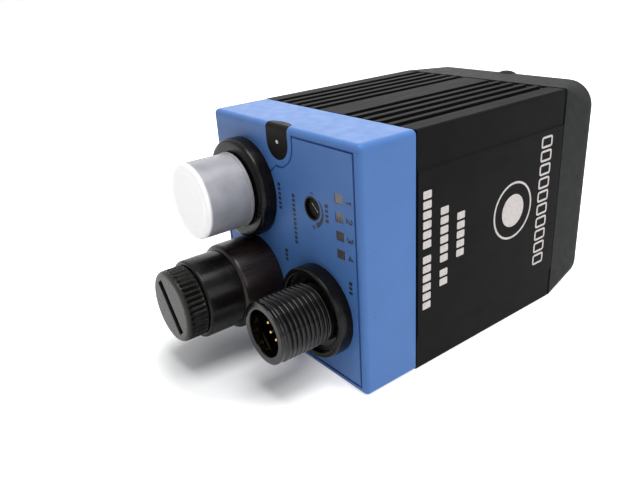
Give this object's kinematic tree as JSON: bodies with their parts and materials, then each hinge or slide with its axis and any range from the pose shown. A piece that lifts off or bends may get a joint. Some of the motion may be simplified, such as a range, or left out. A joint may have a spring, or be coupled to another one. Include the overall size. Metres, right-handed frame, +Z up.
{
  "type": "machine vision camera",
  "caption": "Compact machine vision camera: finned box body with a coloured rear cap, round threaded connectors, a focus screw and a front window for lens and lights.",
  "frame": {"origin": "centre of the underside, midway between the two mounting threads", "axes": "+Y towards the front window, +Z up, connectors stick out along -Y"},
  "size_m": [0.0456, 0.0884, 0.0477],
  "materials": {
    "body_black": "satin",
    "cover_black": "satin",
    "cap_blue": "satin",
    "insert_black": "satin",
    "seal_rubber": "matte",
    "collar_black": "satin",
    "nickel": "satin",
    "carrier_black": "satin",
    "gold": "gloss",
    "cap_white": "satin",
    "brass": "satin",
    "steel": "satin",
    "holder_aluminium": "satin",
    "barrel_black": "satin",
    "lens_glass": "gloss",
    "window_glass": "gloss",
    "board_green": "satin",
    "led_yellow": "satin",
    "sensor_dark": "gloss",
    "chip_black": "satin",
    "pipe_smoke": "gloss"
  },
  "bodies": {
    "camera": {"housing": "body_black", "front_cover": "cover_black", "rear_cap": "cap_blue", "notch_plug": "insert_black", "front_seal": "seal_rubber", "rear_seal": "seal_rubber", "power_collar": "collar_black", "data_collar": "collar_black", "lan_barrel": "collar_black", "lan_shell": "collar_black", "power_shell": "collar_black", "data_shell": "collar_black", "connector_nuts": "nickel", "power_insert": "carrier_black", "data_insert": "carrier_black", "lan_insert": "carrier_black", "power_pins": "gold", "data_pins": "gold", "lan_contacts": "gold", "focus_bush": "brass", "cap_inserts": "brass", "lens_holder": "holder_aluminium", "guide_pin": "steel", "gear_cover": "holder_aluminium", "front_window": "window_glass", "light_shield": "carrier_black", "led_board": "board_green", "leds": "led_yellow", "optics_screws": "steel", "sensor_board": "board_green", "image_sensor": "sensor_dark", "sensor_spacers": "nickel", "processor_board": "board_green", "processor_chips": "chip_black", "processor_spacers": "nickel", "interface_board": "board_green", "status_leds": "led_yellow", "interface_spacers": "nickel", "board_headers": "carrier_black", "stack_screws": "steel", "status_light_pipe": "pipe_smoke", "tie_screws": "steel"},
    "focus_drive": {"focus_screw": "brass", "focus_seal": "seal_rubber", "focus_shaft": "steel", "focus_pinion": "brass"},
    "focus_gear": {"focus_ring": "brass"},
    "lens": {"lens_barrel": "barrel_black", "front_lens": "lens_glass", "rear_lens": "lens_glass", "lens_retainer": "barrel_black"},
    "cap": {"dust_cap": "cap_white"},
    "seal": {"plug_seal": "seal_rubber"},
    "plug": {"blanking_plug": "collar_black"}
  },
  "joints": [
    {"name": "focus_turn", "type": "hinge", "parent": "camera", "child": "focus_drive", "pos_m": [0.0095, -0.03425, 0.0334], "axis": [0, 1, 0], "range_deg": [-150, 150]},
    {"name": "ring_turn", "type": "hinge", "parent": "camera", "child": "focus_gear", "pos_m": [0, 0, 0.0235], "axis": [0, 1, 0], "range_deg": [-40.9, 40.9]},
    {"name": "lens_slide", "type": "slide", "parent": "camera", "child": "lens", "axis": [0, 1, 0], "range_m": [-0.00041, 0.00041]},
    {"name": "cap_pull", "type": "slide", "parent": "camera", "child": "cap", "axis": [0, -1, 0], "range_m": [0, 0.012]},
    {"name": "plug_out", "type": "slide", "parent": "camera", "child": "seal", "axis": [0, -1, 0], "range_m": [0, 0.005]},
    {"name": "plug_turn", "type": "hinge", "parent": "seal", "child": "plug", "pos_m": [-0.01038, -0.03425, 0.01363], "axis": [0, -1, 0], "range_deg": [0, 1800]}
  ],
  "couplings": [
    {"joint": "focus_turn", "follows": "ring_turn", "ratio": -3.6667},
    {"joint": "lens_slide", "follows": "ring_turn", "m_per_rad": -0.00057296},
    {"joint": "plug_out", "follows": "plug_turn", "m_per_rad": 0.00015915}
  ]
}
